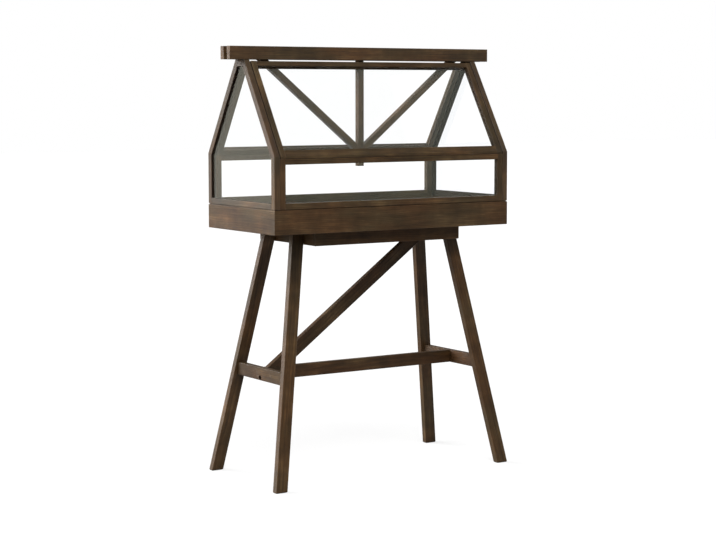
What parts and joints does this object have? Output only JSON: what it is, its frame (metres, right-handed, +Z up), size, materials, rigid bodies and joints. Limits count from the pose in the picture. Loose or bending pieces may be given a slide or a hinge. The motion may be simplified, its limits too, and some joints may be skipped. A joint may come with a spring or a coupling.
{
  "type": "mini greenhouse",
  "caption": "Wooden mini greenhouse on splayed legs: glazed house with hinged roof sashes over a planting box with a metal tray.",
  "frame": {"origin": "on the floor under the middle of the greenhouse", "axes": "+X along the ridge, +Y to the back, +Z up"},
  "size_m": [1.009, 0.441, 1.4],
  "materials": {
    "dark_wood": "satin",
    "dowel_wood": "matte",
    "glass": "gloss",
    "tray_metal": "satin",
    "steel": "satin"
  },
  "bodies": {
    "stand": {"apron_back_rail": "dark_wood", "apron_front_rail": "dark_wood", "apron_left_rail": "dark_wood", "apron_right_rail": "dark_wood", "box_board_back": "dark_wood", "box_board_front": "dark_wood", "box_board_left": "dark_wood", "box_board_right": "dark_wood", "box_floor_panel": "dark_wood", "diagonal_brace": "dark_wood", "dowels": "dowel_wood", "end_stretcher_left": "dark_wood", "end_stretcher_right": "dark_wood", "leg_back_left": "dark_wood", "leg_back_right": "dark_wood", "leg_front_left": "dark_wood", "leg_front_right": "dark_wood", "long_stretcher": "dark_wood", "stretcher_bolts": "steel"},
    "tray": {"planting_tray": "tray_metal"},
    "house": {"gable_left_apex_block": "dark_wood", "gable_left_base_rail": "dark_wood", "gable_left_pane": "glass", "gable_left_post_back": "dark_wood", "gable_left_post_front": "dark_wood", "gable_left_rafter_back": "dark_wood", "gable_left_rafter_front": "dark_wood", "gable_right_apex_block": "dark_wood", "gable_right_base_rail": "dark_wood", "gable_right_pane": "glass", "gable_right_post_back": "dark_wood", "gable_right_post_front": "dark_wood", "gable_right_rafter_back": "dark_wood", "gable_right_rafter_front": "dark_wood", "king_post": "dark_wood", "ridge_board_back": "dark_wood", "ridge_board_front": "dark_wood", "sash_pivot_pins": "steel", "truss_strut_left": "dark_wood", "truss_strut_right": "dark_wood", "window_back_low_rail": "dark_wood", "window_back_pane": "glass", "window_back_stile_left": "dark_wood", "window_back_stile_right": "dark_wood", "window_back_top_rail": "dark_wood", "window_front_low_rail": "dark_wood", "window_front_pane": "glass", "window_front_stile_left": "dark_wood", "window_front_stile_right": "dark_wood", "window_front_top_rail": "dark_wood"},
    "sash_front": {"roof_sash_front_low_rail": "dark_wood", "roof_sash_front_pane": "glass", "roof_sash_front_stile_left": "dark_wood", "roof_sash_front_stile_right": "dark_wood", "roof_sash_front_top_rail": "dark_wood"},
    "sash_back": {"roof_sash_back_low_rail": "dark_wood", "roof_sash_back_pane": "glass", "roof_sash_back_stile_left": "dark_wood", "roof_sash_back_stile_right": "dark_wood", "roof_sash_back_top_rail": "dark_wood"}
  },
  "joints": [
    {"name": "house_lift", "type": "slide", "parent": "stand", "child": "house", "axis": [0, 0, 1], "range_m": [0, 0.3]},
    {"name": "tray_lift", "type": "slide", "parent": "stand", "child": "tray", "axis": [0, 0, 1], "range_m": [0, 0.11]},
    {"name": "roof_sash_front_hinge", "type": "hinge", "parent": "house", "child": "sash_front", "pos_m": [0, -0.02838, 1.33804], "axis": [-1, 0, 0], "range_deg": [0, 110]},
    {"name": "roof_sash_back_hinge", "type": "hinge", "parent": "house", "child": "sash_back", "pos_m": [0, 0.02838, 1.33804], "axis": [1, 0, 0], "range_deg": [0, 110]}
  ]
}
